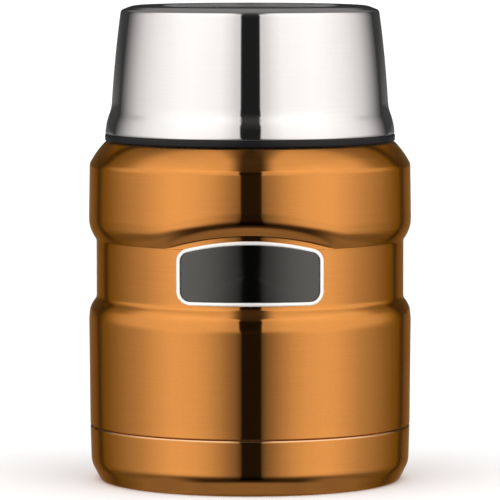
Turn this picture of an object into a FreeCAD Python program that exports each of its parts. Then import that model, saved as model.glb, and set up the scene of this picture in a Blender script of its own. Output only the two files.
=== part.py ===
import FreeCAD, Part
import math
import os

# Insulated food jar with a screw-in stopper and a screw-on lid that turns over to serve as a bowl.
# Millimetres, +Z up. The origin is the centre of the foot, on the surface that the jar stands on.
# The front of the jar, with its plate, faces -Y. Every thread is right-handed.

# Heights of the jar's stages, from the foot up
base_height = 16.65
lower_height = 32.35
lower_slope = 5.3
waist_height = 17.4
upper_slope = 5.3
bulge_height = 17.2
shoulder_height = 6.4
neck_height = 17.6

# Outer shell and base cover
body_radius = 48.0
body_draft = 0.3
waist_depth = 2.25
bulge_draft = 0.25
lower_crown = 0.55
upper_crown = 0.35
shoulder_run = 4.55
shoulder_crown = 0.55
land_width = 7.3
neck_root = 0.8
shell_wall = 0.5
cover_wall = 0.5
cover_draft = 0.35
seam_gap = 0.2
seam_edge = 0.25
foot_cone_height = 5.3
foot_cone_run = 2.7
foot_cone_round = 3.0
foot_round = 1.2
foot_width = 4.2
foot_recess = 1.2
bond_thickness = 0.35
bond_margin = 2.0
bond_play = 0.05
foot_above = 0.3

# Pressed arch above the front plate
arch_half_width = 24.0
arch_rise = 4.0
arch_run = 1.64
arch_below = 3.0
arch_overcut = 2.0
arch_end_angle = 8.0
arch_steps = 8

# End plate of the vacuum space, its sealed port and the getter
end_plate_wall = 0.5
end_plate_height = 2.2
end_plate_round = 1.0
port_radius = 4.5
port_depth = 1.2
port_hole = 0.6
port_slope = 1.5
bead_radius = 3.0
bead_depth = 0.7
getter_radius = 3.5
getter_height = 0.8
getter_place = 22.0
clip_wall = 0.25
clip_width = 3.0
clip_foot = 2.5

# Inner liner
vacuum_gap = 2.7
liner_wall = 0.4
liner_floor = 11.5
floor_dome = 1.5
floor_corner = 8.0
floor_flat = 4.0
liner_shoulder = 9.9
neck_gap = 0.7
ledge_below_lip = 17.9
ledge_depth = 1.4
ledge_width = 2.7
foil_wall = 0.15
foil_margin = 1.0

# Screw threads, shared by the lid and the stopper
thread_starts = 3
thread_pitch = 4.0
thread_height = 1.2
thread_foot = 1.9
thread_crest = 0.9
thread_play = 0.4
flank_play = 0.3
neck_thread_turns = 0.6
cap_thread_turns = 0.5
thread_fade = 16.0
thread_stub = 0.08
thread_step = 15.0
thread_bite = 0.2

# Neck collar, pushed over the steel neck
collar_play = 0.1
collar_wall = 1.1
collar_below_lip = 0.2
collar_thread_up = 3.2
liner_thread_up = 5.6
lid_thread_turn = 30.0
stopper_thread_turn = 20.0

# Lid
rim_gap = 0.4
lid_height = 40.2
rim_height = 2.1
rim_inset = 0.05
rim_round = 0.6
skirt_step = 0.15
skirt_edge = 0.6
flare_height = 7.5
flare_crown = 0.3
flare_run = 1.8
lid_crown = 0.28
lid_taper = 2.7
lid_corner_drop = 2.6
lid_corner_run = 3.6
knee_in = 0.3
knee_up = 1.0
knee_round = 0.9
top_edge_round = 1.8
lid_recess_inset = 7.5
lid_recess = 0.6
lid_wall = 0.5
bowl_wall = 0.4
bowl_play = 0.1
bowl_bore_play = 1.3
bowl_draft = 2.0
bowl_corner = 6.5
bowl_top_gap = 2.9
sleeve_play = 0.15
upstand_height = 1.2
upstand_wall = 1.2
seal_height = 1.4
seal_play = 0.15
seal_reach = 0.8
seal_ledge_width = 0.9
seal_ledge_height = 1.0
seal_lift = 0.15

# Stopper
gasket_height = 2.4
gasket_play = 0.15
gasket_groove = 3.3
gasket_lift = 0.25
gasket_bead = 0.5
stopper_wall = 1.8
plug_depth = 5.8
plug_chamfer = 2.0
nose_play = 0.4
cap_flange = 2.7
cap_lift = 0.3
cap_height = 7.5
cap_edge = 1.0
cap_floor = 1.5
grip_width = 10.0
grip_wall = 2.2
well_inset = 8.0
well_draft = 1.0
spigot_height = 3.0
spigot_wall = 1.2
spigot_play = 0.1
spigot_root = 0.5
slot_margin = 3.0
flute_count = 32
flute_radius = 1.1
flute_depth = 0.6
foam_play = 0.1

# Front plate
badge_side_gap = 2.6
badge_low_gap = 1.1
badge_top_gap = 1.4
badge_corner = 4.0
pad_thickness = 0.2
pad_inset = 0.6
frame_thickness = 0.8
frame_width = 1.1
inlay_thickness = 0.5

# Levels that follow from the heights
seam_z = base_height
lower_top = seam_z + lower_height
waist_low = lower_top + lower_slope
waist_top = waist_low + waist_height
bulge_low = waist_top + upper_slope
bulge_top = bulge_low + bulge_height
land_z = bulge_top + shoulder_height
lip_z = land_z + neck_height
rim_z = land_z + rim_gap
rim_top = rim_z + rim_height
lid_top = rim_z + lid_height
ledge_z = lip_z - ledge_below_lip
throat_z = ledge_z - ledge_depth
foot_low = foot_cone_height + foot_above
plate_top = foot_low + end_plate_height
collar_thread_z = land_z + collar_thread_up
liner_thread_z = ledge_z + liner_thread_up

# Radii that follow from the fits
waist_radius = body_radius - waist_depth
liner_radius = waist_radius - shell_wall - vacuum_gap - liner_wall
bulge_top_radius = body_radius - bulge_draft
land_radius = bulge_top_radius - shoulder_run
neck_radius = land_radius - land_width
rim_radius = land_radius - rim_inset
skirt_radius = rim_radius - skirt_step
lid_radius = skirt_radius - flare_run
lid_top_wall_radius = lid_radius - lid_taper
badge_half_width = arch_half_width - badge_side_gap
cover_radius = body_radius - body_draft
cover_low_radius = cover_radius - cover_draft
skirt_band_radius = cover_low_radius - cover_wall - bond_thickness
neck_bore = neck_radius - shell_wall - neck_gap - liner_wall
throat_radius = neck_bore - ledge_width
collar_radius = neck_radius + collar_play + collar_wall
lid_bore = collar_radius + thread_height + thread_play
plug_radius = neck_bore - thread_height - thread_play
thread_lead = thread_starts * thread_pitch
flank_offset = (thread_foot + thread_crest) / 2 + flank_play

# Points closer than this are one point
tolerance = 1e-6

# How an offset goes round a corner
rounded, sharp = 0, 2


def at(radius, z):
    return FreeCAD.Vector(radius, 0, z)


def outline(start, *steps):
    """A wire in the section plane. A step is (r, z), for a line, or (through, end), for an arc.

    A line's end may be (r, z, radius), for a corner that is rounded where the next step is a line too.
    """
    here = at(*start)
    edges = []
    for i, step in enumerate(steps):
        if isinstance(step[0], tuple):
            through, end = (at(*point) for point in step)
            edges.append(Part.Arc(here, through, end).toShape())
        else:
            end = at(*step[:2])
            if len(step) == 3:
                leave, middle, join = corner_arc(here, end, at(*steps[i + 1][:2]), step[2])
                edges.append(Part.LineSegment(here, leave).toShape())
                edges.append(Part.Arc(leave, middle, join).toShape())
                end = join
            else:
                edges.append(Part.LineSegment(here, end).toShape())
        here = end
    return Part.Wire(edges)


def corner_arc(before, corner, after, radius):
    """Where an arc that rounds a corner leaves the first line, its middle, and where it joins the second."""
    back = (before - corner).normalize()
    ahead = (after - corner).normalize()
    half = back.getAngle(ahead) / 2
    run = radius / math.tan(half)
    inward = (back + ahead).normalize()
    middle = corner + inward * (radius / math.sin(half) - radius)
    return corner + back * run, middle, corner + ahead * run


def rise_at(across, half_width, rise):
    """How high an arc stands over its chord, this far to the side of its middle."""
    radius = (half_width**2 + rise**2) / (2 * rise)
    return rise - radius + math.sqrt(radius**2 - across**2)


def turned(wire):
    """The solid of revolution of a closed section."""
    solid = Part.Face(wire).revolve(FreeCAD.Vector(), FreeCAD.Vector(0, 0, 1), 360)
    return solid if solid.Volume > 0 else solid.reversed()


def ring(*points):
    """A turned solid from the corners of its section."""
    return turned(outline(*points, points[0]))


def cylinder(radius, low, high):
    return Part.makeCylinder(radius, high - low, at(0, low))


def end_points(wire):
    first, last = wire.OrderedVertexes[0].Point, wire.OrderedVertexes[-1].Point
    return first, last


def core(wire, below=0.0, above=0.0):
    """The turned solid between an open outline and the axis, with its ends lengthened by below and above."""
    first, last = end_points(wire)
    corners = [first, at(first.x, first.z - below), at(0, first.z - below)]
    corners += [at(0, last.z + above), at(last.x, last.z + above), last]
    kept = [corners[0]]
    for corner in corners[1:]:
        if corner.distanceToPoint(kept[-1]) > tolerance:
            kept.append(corner)
    closing = [Part.LineSegment(a, b).toShape() for a, b in zip(kept, kept[1:])]
    return turned(Part.Wire(Part.__sortEdges__(wire.Edges + closing)))


def sheet(wire, wall, corners=sharp):
    """The turned sheet between an outline and its offset by wall: to the left of the way the outline runs."""
    inner = wire.makeOffset2D(wall, corners, False, True)
    a_first, a_last = end_points(wire)
    b_first, b_last = end_points(inner)
    ends = []
    for a, b in ((a_first, b_first), (a_last, b_last)):
        if a.distanceToPoint(b) > tolerance and not (a.x < tolerance and b.x < tolerance):
            ends.append(Part.LineSegment(a, b).toShape())
        elif a.distanceToPoint(b) > tolerance:
            ends.append(Part.LineSegment(at(0, a.z), at(0, b.z)).toShape())
    return turned(Part.Wire(Part.__sortEdges__(wire.Edges + inner.Edges + ends)))


def edge_cutter(radius, z, size):
    """A ring to cut from a circular edge, which leaves a chamfer there."""
    return ring((radius - size, z), (radius, z - size), (radius + size, z), (radius, z + size))


def single(shape):
    """The one solid of a shape, with its seams between like faces removed."""
    joined = shape.removeSplitter()
    return joined.Solids[0] if len(joined.Solids) == 1 else joined


def ridge(wall_radius, height, z_start, first_angle, turns):
    """One thread start: a helical ridge that fades in and out, rooted just inside its wall.

    A positive height stands out from the wall and a negative one stands inwards.
    """
    inward = -1 if height < 0 else 1
    span = 360 * turns
    fade = [thread_fade * share for share in (0, 0.2, 0.5, 1)]
    full = span - 2 * thread_fade
    steps = math.ceil(full / thread_step)
    middle = [thread_fade + full * i / steps for i in range(1, steps)]
    angles = fade + middle + [span - angle for angle in reversed(fade)]
    sections = []
    for angle in angles:
        share = min(1, angle / thread_fade, (span - angle) / thread_fade)
        rise = thread_stub + (1 - thread_stub) * math.sin(share * math.pi / 2)
        foot, crest = thread_foot / 2, thread_crest / 2
        z = z_start + thread_lead * angle / 360
        root = wall_radius - inward * thread_bite
        tip = wall_radius + height * rise
        half_tip = foot + (crest - foot) * rise
        corners = [(root, -foot), (root, foot), (tip, half_tip), (tip, -half_tip)]
        turn = math.radians(first_angle + angle)
        points = [FreeCAD.Vector(r * math.cos(turn), r * math.sin(turn), z + dz) for r, dz in corners]
        sections.append(Part.makePolygon(points + points[:1]))
    return Part.makeLoft(sections, True, False)


def thread(wall_radius, height, z_start, turns, turned_by=0.0):
    """All the starts of a thread, evenly spaced round the axis."""
    step = 360 / thread_starts
    return [ridge(wall_radius, height, z_start, turned_by + step * i, turns) for i in range(thread_starts)]


def mating_start(z_start, turned_by):
    """Where a thread starts that lies under another one's ridges and begins turned_by degrees round."""
    return z_start - flank_offset + thread_lead * turned_by / 360


def arch_height(across):
    """The height of the arch's line where it meets the waist, this far to the side of the front."""
    return waist_top + rise_at(across, arch_half_width, arch_rise)


def arch_pocket(floor_radius, lift):
    """The space in front of the plate, above the waist: an arch pressed into the bulge, with a sloped flank.

    Each section leans by arch_run mm up for each mm out. Lift raises the arch above its line.
    """
    inner = floor_radius - arch_overcut
    outer = body_radius + arch_overcut
    low = waist_top - arch_below
    half_angle = math.asin(arch_half_width / waist_radius) + math.radians(arch_end_angle)
    sections = []
    for i in range(-arch_steps, arch_steps + 1):
        turn = half_angle * i / arch_steps
        top = arch_height(waist_radius * math.sin(turn)) + lift
        rise = arch_run * (outer - floor_radius)
        fall = arch_run * (floor_radius - inner)
        corners = [(inner, low - fall), (inner, top - fall), (outer, top + rise), (outer, low - fall)]
        points = [FreeCAD.Vector(r * math.sin(turn), -r * math.cos(turn), z) for r, z in corners]
        sections.append(Part.makePolygon(points + points[:1]))
    return Part.makeLoft(sections, True, False).cut(cylinder(floor_radius, 0, lip_z))


def bulge_outline():
    """The outer shell's outside, from the end of its skirt up to the top of the neck."""
    middle = (body_radius + waist_radius) / 2
    shoulder = (bulge_top_radius + land_radius) / 2 + shoulder_crown
    return outline(
        (skirt_band_radius, foot_low),
        (skirt_band_radius, seam_z),
        (cover_radius, seam_z),
        (body_radius, lower_top),
        ((middle + lower_crown, (lower_top + waist_low) / 2), (waist_radius, waist_low)),
        (waist_radius, waist_top),
        ((middle + upper_crown, (waist_top + bulge_low) / 2), (body_radius, bulge_low)),
        (bulge_top_radius, bulge_top),
        ((shoulder, (bulge_top + land_z) / 2), (land_radius, land_z)),
        (neck_radius, land_z, neck_root),
        (neck_radius, lip_z - liner_wall),
    )


def make_outer_shell():
    outside = bulge_outline()
    inside = outside.makeOffset2D(shell_wall, sharp, False, True)
    flank = math.hypot(1, arch_run)
    pressed = arch_pocket(waist_radius, 0)
    pressed_inside = arch_pocket(waist_radius - shell_wall, shell_wall * (flank - arch_run))
    solid = core(outside).cut([pressed, edge_cutter(cover_radius, seam_z, seam_edge)])
    return single(solid.cut(core(inside, 1, 1).cut(pressed_inside)))


def make_inner_liner():
    """One sheet: a domed floor, the wall, the shoulder in to the throat, the ledge, the neck and the lip."""
    shoulder_low = throat_z - liner_shoulder
    reach = liner_radius - throat_radius
    bend = math.sqrt(0.5)
    shoulder = (throat_radius + reach * bend, shoulder_low + liner_shoulder * bend)
    dome_edge = liner_radius - floor_corner - floor_flat
    dome_middle = (dome_edge / 2, liner_floor + rise_at(dome_edge / 2, dome_edge, floor_dome))
    vessel = outline(
        (0, liner_floor + floor_dome),
        (dome_middle, (dome_edge, liner_floor)),
        (liner_radius, liner_floor, floor_corner),
        (liner_radius, shoulder_low),
        (shoulder, (throat_radius, throat_z)),
        (throat_radius, ledge_z),
    )
    neck = outline(
        (throat_radius, ledge_z),
        (neck_bore, ledge_z),
        (neck_bore, lip_z, 2 * liner_wall),
        (neck_radius, lip_z),
    )
    ridges = thread(neck_bore, -thread_height, liner_thread_z, neck_thread_turns)
    return single(sheet(vessel, -liner_wall).fuse([sheet(neck, -liner_wall)] + ridges))


def make_radiation_foil():
    inner = liner_radius + liner_wall
    low = liner_floor + floor_corner + foil_margin
    high = throat_z - liner_shoulder - foil_margin
    return ring((inner, low), (inner + foil_wall, low), (inner + foil_wall, high), (inner, high))


def make_shell_bottom():
    """The plate that closes the vacuum space, with a dimple for the port at its middle."""
    rim = skirt_band_radius - shell_wall
    section = outline(
        (rim, foot_low),
        (rim, plate_top, end_plate_round),
        (port_radius + port_slope, plate_top),
        (port_radius, plate_top + port_depth),
        (port_hole, plate_top + port_depth),
    )
    return single(sheet(section, end_plate_wall))


def make_vacuum_seal():
    """The bead of braze under the dimple, with the stem that fills the port."""
    ceiling = plate_top + port_depth - end_plate_wall
    bead_middle = (bead_radius / 2, ceiling - rise_at(bead_radius / 2, bead_radius, bead_depth))
    return turned(
        outline(
            (0, ceiling - bead_depth),
            (bead_middle, (bead_radius, ceiling)),
            (port_hole, ceiling),
            (port_hole, ceiling + end_plate_wall),
            (0, ceiling + end_plate_wall),
            (0, ceiling - bead_depth),
        )
    )


def make_getter():
    pellet = cylinder(getter_radius, plate_top, plate_top + getter_height)
    pellet.translate(FreeCAD.Vector(getter_place, 0, 0))
    return pellet


def make_getter_clip():
    """A spring strip that arches over the getter and is spot welded at both feet."""
    inner = (getter_radius, plate_top + getter_height)
    outer = (getter_radius + clip_wall, inner[1] + clip_wall)
    foot_end = outer[0] + clip_foot
    foot_top = plate_top + clip_wall
    foot = [(inner[0], plate_top), (foot_end, plate_top), (foot_end, foot_top), (outer[0], foot_top)]
    right = [inner, *foot, outer]
    left = [(-y, z) for y, z in reversed(right)]
    points = [FreeCAD.Vector(getter_place - clip_width / 2, y, z) for y, z in right + left]
    return Part.Face(Part.makePolygon(points + points[:1])).extrude(FreeCAD.Vector(clip_width, 0, 0))


def make_base_cover():
    """The cup over the end plate, from its top edge down round the foot to the middle of its recess."""
    toe = cover_low_radius - foot_cone_run
    heel = toe - foot_width
    top = seam_z - seam_gap
    section = outline(
        (cover_radius, top),
        (cover_low_radius, foot_cone_height, foot_cone_round),
        (toe, 0, foot_round),
        (heel, 0),
        (heel - foot_recess, foot_recess),
        (0, foot_recess),
    )
    return single(sheet(section, -cover_wall).cut(edge_cutter(cover_radius, top, seam_edge)))


def cover_bore_at(z):
    """The radius that fits in the base cover's long tapered wall at this height."""
    low, high = foot_cone_height, seam_z - seam_gap
    share = (z - low) / (high - low)
    outside = cover_low_radius + cover_draft * share
    return outside - cover_wall * math.hypot(1, cover_draft / (high - low)) - bond_play


def make_base_bond():
    """The ring of adhesive that holds the base cover on the shell's skirt."""
    low = foot_cone_height + bond_margin
    high = seam_z - bond_margin
    inner = skirt_band_radius
    return ring((inner, low), (cover_bore_at(low), low), (cover_bore_at(high), high), (inner, high))


def make_neck_collar():
    bore = neck_radius + collar_play
    top = lip_z - collar_below_lip
    root = neck_root + collar_play
    edge = collar_wall / 3
    sleeve = ring(
        (bore + root, land_z), (collar_radius, land_z), (collar_radius, top - edge),
        (collar_radius - edge, top), (bore, top), (bore, land_z + root),
    )
    return single(sleeve.fuse(thread(collar_radius, thread_height, collar_thread_z, neck_thread_turns)))


def lid_radius_at(z):
    """The outside radius of the lid's long crowned wall, from the circle through its three points."""
    (r1, z1), (r2, z2), (r3, z3) = lid_wall_points()
    d = 2 * (r1 * (z2 - z3) + r2 * (z3 - z1) + r3 * (z1 - z2))
    s1, s2, s3 = r1**2 + z1**2, r2**2 + z2**2, r3**2 + z3**2
    centre_r = (s1 * (z2 - z3) + s2 * (z3 - z1) + s3 * (z1 - z2)) / d
    centre_z = (s1 * (r3 - r2) + s2 * (r1 - r3) + s3 * (r2 - r1)) / d
    radius = math.hypot(r1 - centre_r, z1 - centre_z)
    return centre_r + math.sqrt(radius**2 - (z - centre_z) ** 2)


def lid_wall_points():
    foot = (lid_radius, rim_top + flare_height)
    head = (lid_top_wall_radius, lid_top - lid_corner_drop)
    middle = ((foot[0] + head[0]) / 2 + lid_crown, (foot[1] + head[1]) / 2)
    return foot, middle, head


def lid_outline():
    """The lid shell's outside, from its lower edge up to the middle of its top."""
    foot, middle, head = lid_wall_points()
    flare = ((skirt_radius + lid_radius) / 2 + flare_crown, rim_top + flare_height / 2)
    top_edge = head[0] - lid_corner_run
    knee = (head[0] - knee_in, head[1] + knee_up)
    shelf = top_edge - lid_recess_inset
    return outline(
        (skirt_radius, rim_top),
        (skirt_radius, rim_top + skirt_edge),
        (flare, foot),
        (middle, head),
        (*knee, knee_round),
        (top_edge, lid_top, top_edge_round),
        (shelf, lid_top),
        (shelf - lid_recess, lid_top - lid_recess),
        (0, lid_top - lid_recess),
    )


def make_lid_shell():
    return single(sheet(lid_outline(), lid_wall, rounded))


# The seal ring lies just above the collar's top, and the bowl's rim rests just above the seal.
seal_low = lip_z - collar_below_lip + seal_lift + seal_play
seat_z = seal_low + seal_height + seal_play
sleeve_radius = lid_radius_at(seat_z) - lid_wall - sleeve_play
seal_outer = lid_bore - 2 * seal_play
seal_inner = collar_radius - seal_reach


def make_lid_collar():
    """The moulded ring that shows as the lid's dark rim and carries the lid's inner thread."""
    groove_low = seal_low - seal_play
    ledge_bore = lid_bore - seal_ledge_width
    upstand = skirt_radius - lid_wall - 2 * sleeve_play
    groove = seal_outer + seal_play
    upstand_top = rim_top + upstand_height
    upstand_bore = upstand - upstand_wall
    ledge_low = groove_low - seal_ledge_height
    body = ring(
        (lid_bore, rim_z), (rim_radius, rim_z, rim_round), (rim_radius, rim_top, rim_round),
        (upstand, rim_top), (upstand, upstand_top), (upstand_bore, upstand_top), (upstand_bore, rim_top),
        (sleeve_radius, rim_top), (sleeve_radius, seat_z), (groove, seat_z), (groove, groove_low),
        (ledge_bore, groove_low), (ledge_bore, ledge_low), (lid_bore, ledge_low - seal_ledge_width),
    )
    start = mating_start(collar_thread_z, lid_thread_turn)
    return single(body.fuse(thread(lid_bore, -thread_height, start, cap_thread_turns, lid_thread_turn)))


def make_lid_seal():
    edge = seal_height / 4
    high = seal_low + seal_height
    return ring(
        (seal_inner, seal_low + edge), (seal_inner + edge, seal_low), (seal_outer, seal_low),
        (seal_outer, high), (seal_inner + edge, high), (seal_inner, high - edge),
    )


def make_lid_bowl():
    """The bowl inside the lid, from the outer edge of its rim up to the middle of its floor."""
    rim = sleeve_radius - bowl_play
    bore = seal_inner + bowl_bore_play
    floor = lid_top - lid_recess - lid_wall - bowl_top_gap - bowl_wall
    section = outline(
        (rim, seat_z),
        (bore, seat_z, 2 * bowl_wall),
        (bore - bowl_draft, floor, bowl_corner),
        (0, floor),
    )
    return single(sheet(section, -bowl_wall))


# The gasket sits in the plug's groove, above the liner's ledge.
gasket_low = ledge_z + gasket_lift
groove_low = gasket_low - gasket_play
groove_high = gasket_low + gasket_height + gasket_play
groove_radius = plug_radius - gasket_groove
plug_low = ledge_z - plug_depth
cap_seat = lip_z - collar_below_lip


def make_stopper_gasket():
    high = gasket_low + gasket_height
    inner = groove_radius + gasket_play
    valley = plug_radius - gasket_bead
    middle = (gasket_low + high) / 2
    bead, crest = gasket_bead, plug_radius
    return ring(
        (inner, gasket_low), (valley, gasket_low), (crest, gasket_low + bead), (crest, gasket_low + 2 * bead),
        (valley, middle), (crest, high - 2 * bead), (crest, high - bead), (valley, high), (inner, high),
    )


def plug_cavity(play):
    """The stopper's hollow, drawn in by play: its two bores, the step between them and its floor."""
    wide = plug_radius - stopper_wall - play
    narrow = groove_radius - stopper_wall - play
    step = groove_high + stopper_wall + play
    floor = plug_low + stopper_wall + play
    return wide, narrow, step, floor


def make_stopper_body():
    wide, narrow, step, floor = plug_cavity(0)
    nose = throat_radius - nose_play
    body = ring(
        (0, plug_low), (nose - plug_chamfer, plug_low), (nose, plug_low + plug_chamfer), (nose, groove_low),
        (groove_radius, groove_low), (groove_radius, groove_high), (plug_radius, groove_high),
        (plug_radius, cap_seat), (wide, cap_seat), (wide, step), (narrow, step), (narrow, floor), (0, floor),
    )
    start = mating_start(liner_thread_z, stopper_thread_turn)
    return single(body.fuse(thread(plug_radius, thread_height, start, cap_thread_turns, stopper_thread_turn)))


def make_stopper_foam():
    wide, narrow, step, floor = plug_cavity(foam_play)
    top = cap_seat - spigot_height
    return ring((0, floor), (narrow, floor), (narrow, step), (wide, step), (wide, top), (0, top))


def grip_well(side):
    """One of the two hollows beside the grip bar: half of a tapered round well."""
    floor_z = cap_seat + cap_floor
    top = cap_seat + cap_height
    outer = plug_radius + cap_flange - well_inset
    well = Part.makeCone(outer - well_draft, outer, top - floor_z, at(0, floor_z))
    reach = 2 * outer
    bar = FreeCAD.Vector(grip_width / 2 if side > 0 else -grip_width / 2 - reach, -reach, floor_z)
    half = well.common(Part.makeBox(reach, 2 * reach, reach, bar))
    bottom = [edge for edge in half.Edges if abs(edge.BoundBox.ZMax - floor_z) < tolerance]
    return half.makeFillet(cap_edge, bottom)


def make_stopper_cap():
    flange = plug_radius + cap_flange
    under = lip_z + cap_lift
    top = cap_seat + cap_height
    cap = ring(
        (0, cap_seat), (plug_radius, cap_seat), (plug_radius, under), (flange, under),
        (flange, top - cap_edge), (flange - cap_edge, top), (0, top),
    )
    spigot = plug_radius - stopper_wall - spigot_play
    low, root, bore = cap_seat - spigot_height, cap_seat + spigot_root, spigot - spigot_wall
    cap = cap.fuse(ring((bore, low), (spigot, low), (spigot, root), (bore, root)))
    slot_half = (grip_width / 2 - grip_wall, bore - slot_margin)
    slot_corner = FreeCAD.Vector(-slot_half[0], -slot_half[1], cap_seat)
    slot = Part.makeBox(2 * slot_half[0], 2 * slot_half[1], cap_height - grip_wall, slot_corner)
    cuts = [grip_well(1), grip_well(-1), slot]
    flute = cylinder(flute_radius, under, top)
    flute.translate(at(flange + flute_radius - flute_depth, 0))
    for i in range(flute_count):
        cuts.append(flute.rotated(FreeCAD.Vector(), FreeCAD.Vector(0, 0, 1), 360 * (i + 0.5) / flute_count))
    return single(cap.cut(cuts))


def badge_face(inset):
    """The front plate's outline seen from the front: straight sides, round corners and an arched top."""
    half = badge_half_width - inset
    low = waist_low + badge_low_gap + inset
    crown = arch_height(0) - badge_top_gap - inset
    side = arch_height(half) - badge_top_gap - inset
    points = [(-half, low), (half, low), (half, side), (0, crown), (-half, side)]
    a, b, c, d, e = (FreeCAD.Vector(x, 0, z) for x, z in points)
    edges = [Part.LineSegment(a, b).toShape(), Part.LineSegment(b, c).toShape()]
    edges += [Part.Arc(c, d, e).toShape(), Part.LineSegment(e, a).toShape()]
    prism = Part.Face(Part.Wire(edges)).extrude(FreeCAD.Vector(0, -2 * body_radius, 0))
    upright = [edge for edge in prism.Edges if abs(edge.BoundBox.YLength - 2 * body_radius) < tolerance]
    return prism.makeFillet(badge_corner - inset, upright)


def badge_layer(inset, low, high):
    """A layer of the front plate that wraps the waist between two heights above it."""
    inner = waist_radius + low
    outer = waist_radius + high
    wrap = ring((inner, waist_low), (outer, waist_low), (outer, bulge_low), (inner, bulge_low))
    return badge_face(inset).common(wrap)


def make_badge_pad():
    return badge_layer(pad_inset, 0, pad_thickness).Solids[0]


def make_badge_frame():
    outer = badge_layer(0, pad_thickness, pad_thickness + frame_thickness)
    return outer.cut(badge_face(frame_width)).Solids[0]


def make_badge_inlay():
    return badge_layer(frame_width, pad_thickness, pad_thickness + inlay_thickness).Solids[0]


parts = {
    "outer_shell": make_outer_shell,
    "inner_liner": make_inner_liner,
    "radiation_foil": make_radiation_foil,
    "shell_bottom": make_shell_bottom,
    "vacuum_seal": make_vacuum_seal,
    "getter": make_getter,
    "getter_clip": make_getter_clip,
    "base_cover": make_base_cover,
    "base_bond": make_base_bond,
    "neck_collar": make_neck_collar,
    "badge_pad": make_badge_pad,
    "badge_frame": make_badge_frame,
    "badge_inlay": make_badge_inlay,
    "stopper_body": make_stopper_body,
    "stopper_cap": make_stopper_cap,
    "stopper_foam": make_stopper_foam,
    "stopper_gasket": make_stopper_gasket,
    "lid_shell": make_lid_shell,
    "lid_bowl": make_lid_bowl,
    "lid_collar": make_lid_collar,
    "lid_seal": make_lid_seal,
}

os.makedirs("parts", exist_ok=True)
for name, make in parts.items():
    make().exportStep("parts/" + name + ".step")
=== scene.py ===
import math

import bmesh
import bpy
import numpy as np
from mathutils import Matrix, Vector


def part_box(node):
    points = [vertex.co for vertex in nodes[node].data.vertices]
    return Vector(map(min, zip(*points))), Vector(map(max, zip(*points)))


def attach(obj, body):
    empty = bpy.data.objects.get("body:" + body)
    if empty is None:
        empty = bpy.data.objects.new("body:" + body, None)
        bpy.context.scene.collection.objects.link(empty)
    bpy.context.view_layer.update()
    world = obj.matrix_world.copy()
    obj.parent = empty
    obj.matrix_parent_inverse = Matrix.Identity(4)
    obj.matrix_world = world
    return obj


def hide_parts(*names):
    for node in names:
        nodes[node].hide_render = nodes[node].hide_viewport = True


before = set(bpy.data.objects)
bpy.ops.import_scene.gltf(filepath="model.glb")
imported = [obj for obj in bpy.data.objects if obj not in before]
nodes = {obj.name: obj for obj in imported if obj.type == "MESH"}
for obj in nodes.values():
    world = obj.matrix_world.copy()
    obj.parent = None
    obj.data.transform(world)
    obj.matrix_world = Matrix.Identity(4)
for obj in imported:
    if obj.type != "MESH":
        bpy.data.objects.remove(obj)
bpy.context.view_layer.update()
mm = 0.001

# Outer shell
# Stainless steel tube, expanded into a bulge and a lower body with a waist between them, and spun in at
# the shoulder to the neck. An arch for the plate is pressed into the bulge's lower edge.
shell_low, shell_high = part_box("outer_shell")
cover_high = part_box("base_cover")[1]
skirt_step = 1.2 * mm
seam_gap = 0.2 * mm
lower_height = 32.35 * mm
slope_height = 5.3 * mm
waist_height = 17.4 * mm
waist_depth = 2.25 * mm
bulge_height = 17.2 * mm
bulge_draft = 0.25 * mm
shoulder_run = 4.55 * mm
land_width = 7.3 * mm
shell_wall = 0.5 * mm
arch_half_width = 24 * mm
arch_rise = 4 * mm
arch_run = 1.64
arch_brow = 2.2 * mm
arch_crease = 0.3 * mm
body_radius = shell_high.x
waist_radius = body_radius - waist_depth
cover_radius = cover_high.x
skirt_band_radius = cover_radius - skirt_step
bulge_top_radius = body_radius - bulge_draft
land_radius = bulge_top_radius - shoulder_run
neck_radius = land_radius - land_width
seam_z = cover_high.z + seam_gap
lower_top = seam_z + lower_height
waist_low = lower_top + slope_height
waist_top = waist_low + waist_height
bulge_low = waist_top + slope_height
bulge_top = bulge_low + bulge_height
land_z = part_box("neck_collar")[0].z
lip_z = shell_high.z


def section(stations, run_steps=7, corner_steps=7):
    """Points along a section, from stations of (radius, height, rounding, bow, steps).

    Rounding is how far each side of the station its corner is taken off. Bow is how far the run that ends
    at the station stands out from a straight line, and steps is how many points it has.
    """
    stops = [np.array(station[:2], float) for station in stations]
    rounding, bows, counts = (
        [station[k] if len(station) > k else default for station in stations]
        for k, default in ((2, 0), (3, 0), (4, run_steps))
    )
    points = [stops[0]]
    leave = 0.0
    for i in range(1, len(stops)):
        length = math.dist(stops[i], stops[i - 1])
        arrive = 1 - min(rounding[i] / length, 0.45)
        for share in np.linspace(leave, arrive, counts[i])[1:]:
            points.append(bowed(stops[i - 1], stops[i], bows[i], share))
        leave = 0.0
        if rounding[i] and i + 1 < len(stops):
            leave = min(rounding[i] / math.dist(stops[i + 1], stops[i]), 0.45)
            first = points[-1]
            last = bowed(stops[i], stops[i + 1], bows[i + 1], leave)
            for share in np.linspace(0, 1, corner_steps)[1:]:
                near = first * (1 - share) + stops[i] * share
                far = stops[i] * (1 - share) + last * share
                points.append(near * (1 - share) + far * share)
    return points


def bowed(start, end, bow, share):
    """The point this share of the way from start to end, on a run that bows out to its right."""
    run = end - start
    out = np.array([run[1], -run[0]]) / math.hypot(*run)
    return start + run * share + out * (4 * bow * share * (1 - share))


def add(tree, kind, inputs=None, **settings):
    """Add a node with its settings. Each input is a value, or the output that feeds it."""
    made = tree.nodes.new(kind)
    for name, value in settings.items():
        setattr(made, name, value)
    for key, value in (inputs or {}).items():
        if isinstance(value, bpy.types.NodeSocket):
            tree.links.new(value, made.inputs[key])
        else:
            made.inputs[key].default_value = value
    return made


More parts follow.
